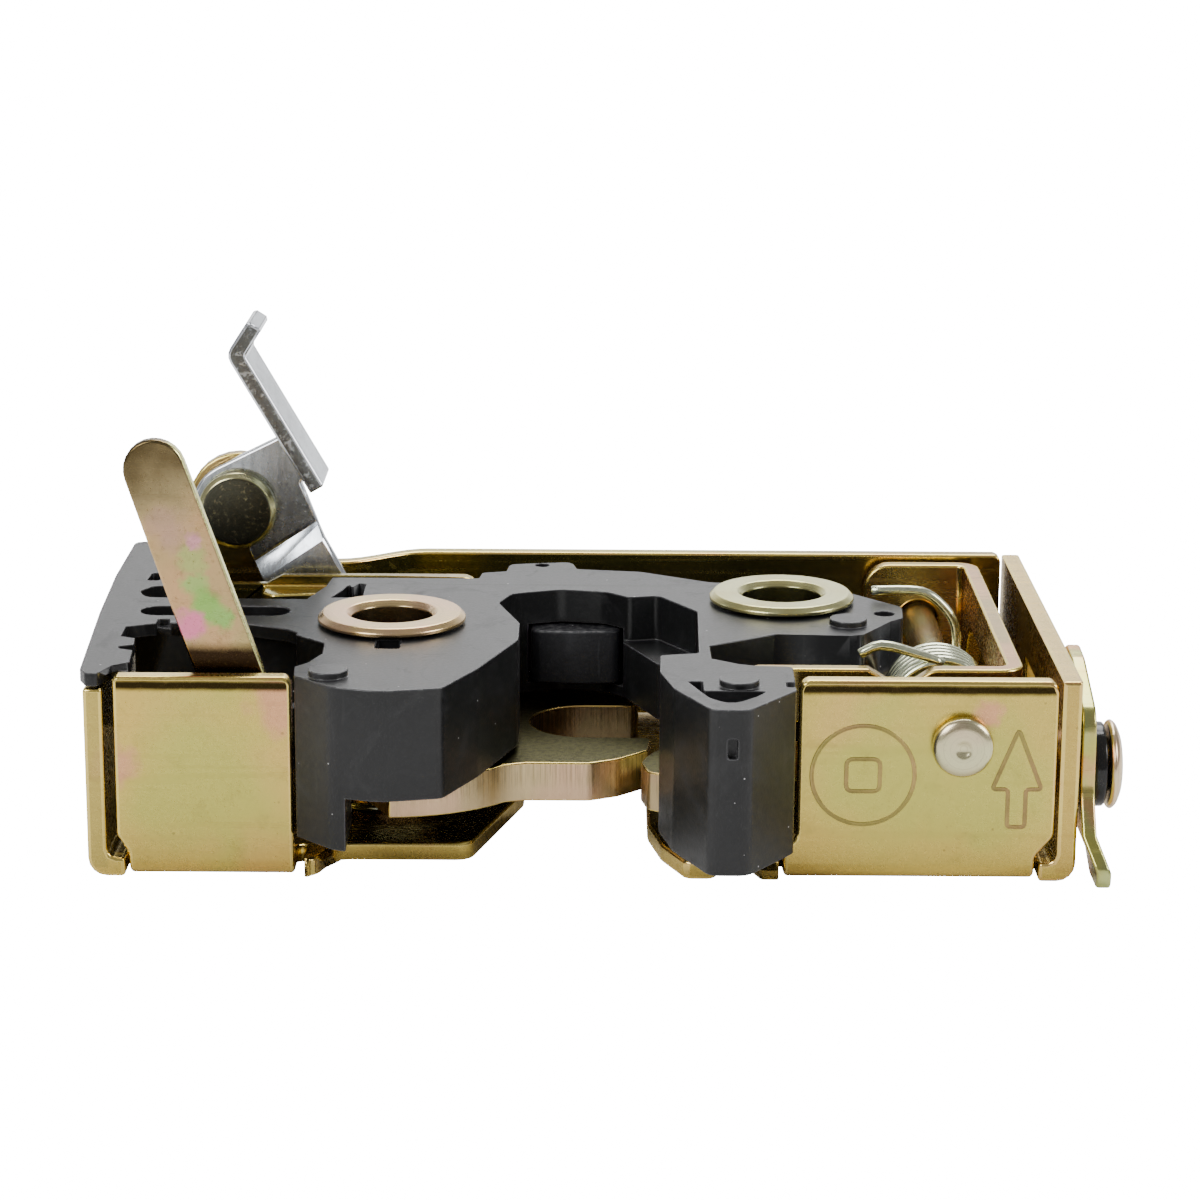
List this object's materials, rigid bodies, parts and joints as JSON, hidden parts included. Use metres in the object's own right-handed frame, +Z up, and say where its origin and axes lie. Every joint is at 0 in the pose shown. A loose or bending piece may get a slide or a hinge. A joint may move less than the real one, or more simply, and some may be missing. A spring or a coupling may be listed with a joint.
{
  "type": "car door lock",
  "caption": "Side door lock of a car: folded plated steel case, black plastic housing with a striker throat, turning catch and pawl, and release, inside, outside and locking levers.",
  "frame": {"origin": "under the middle of the lock's box, on the underside of the case's base plate", "axes": "+X along the case to the side of the outside lever, +Y from the front flanges to the back plate, +Z up through the case"},
  "size_m": [0.1082, 0.0684, 0.0503],
  "materials": {
    "yellow_zinc": "yellow passivated zinc plate with pink and green tints",
    "sheared_zinc": "yellow passivated zinc over sheared edges",
    "bright_zinc": "bright zinc plate",
    "spring_steel": "plated spring wire",
    "black_plastic": "satin black moulded plastic",
    "black_rubber": "matt black rubber"
  },
  "bodies": {
    "case": {"case_tray": "yellow_zinc", "back_plate": "yellow_zinc", "plastic_housing": "black_plastic", "rubber_buffer": "black_rubber", "catch_bush": "yellow_zinc", "pawl_bush": "yellow_zinc", "catch_spring": "spring_steel", "pawl_spring": "spring_steel", "release_pin": "yellow_zinc", "release_spring": "spring_steel", "lever_stud": "yellow_zinc", "lever_washer": "black_plastic", "inside_rivet": "yellow_zinc", "lock_pin": "yellow_zinc"},
    "catch_body": {"catch": "sheared_zinc"},
    "pawl_body": {"pawl": "sheared_zinc"},
    "release_body": {"release_bracket": "yellow_zinc"},
    "outside_lever_body": {"outside_lever": "yellow_zinc"},
    "inside_lever_body": {"inside_lever": "bright_zinc"},
    "transfer_bar_body": {"transfer_bar": "yellow_zinc"},
    "lock_lever_body": {"lock_lever": "yellow_zinc"}
  },
  "joints": [
    {"name": "catch_turn", "type": "hinge", "parent": "case", "child": "catch_body", "pos_m": [-0.0219, -0.0017, 0.0052], "axis": [0, 0, 1], "range_deg": [-55, 0]},
    {"name": "pawl_turn", "type": "hinge", "parent": "case", "child": "pawl_body", "pos_m": [0.02, 0.0079, 0.0052], "axis": [0, 0, 1], "range_deg": [0, 16.5]},
    {"name": "outside_lever_turn", "type": "hinge", "parent": "case", "child": "outside_lever_body", "pos_m": [0.0491, -0.0142, 0.0102], "axis": [1, 0, 0], "range_deg": [-20, 0], "stiffness_Nm_per_rad": 0.3},
    {"name": "release_bracket_turn", "type": "hinge", "parent": "case", "child": "release_body", "pos_m": [0.0368, -0.0175, 0.0146], "axis": [0, 1, 0], "range_deg": [0, 10], "stiffness_Nm_per_rad": 0.3},
    {"name": "inside_lever_turn", "type": "hinge", "parent": "case", "child": "inside_lever_body", "pos_m": [-0.0407, 0.0247, 0.0283], "axis": [0, 1, 0], "range_deg": [0, 20], "stiffness_Nm_per_rad": 0.3},
    {"name": "transfer_bar_slide", "type": "slide", "parent": "case", "child": "transfer_bar_body", "axis": [1, 0, 0], "range_m": [-0.0031, 0]},
    {"name": "lock_lever_turn", "type": "hinge", "parent": "case", "child": "lock_lever_body", "pos_m": [-0.0345, -0.0202, 0.0124], "axis": [0, 1, 0], "range_deg": [0, 18]}
  ],
  "couplings": [
    {"joint": "pawl_turn", "follows": "catch_turn", "ratio": -0.3},
    {"joint": "release_bracket_turn", "follows": "outside_lever_turn", "ratio": -0.5},
    {"joint": "transfer_bar_slide", "follows": "inside_lever_turn", "m_per_rad": -0.0086}
  ]
}
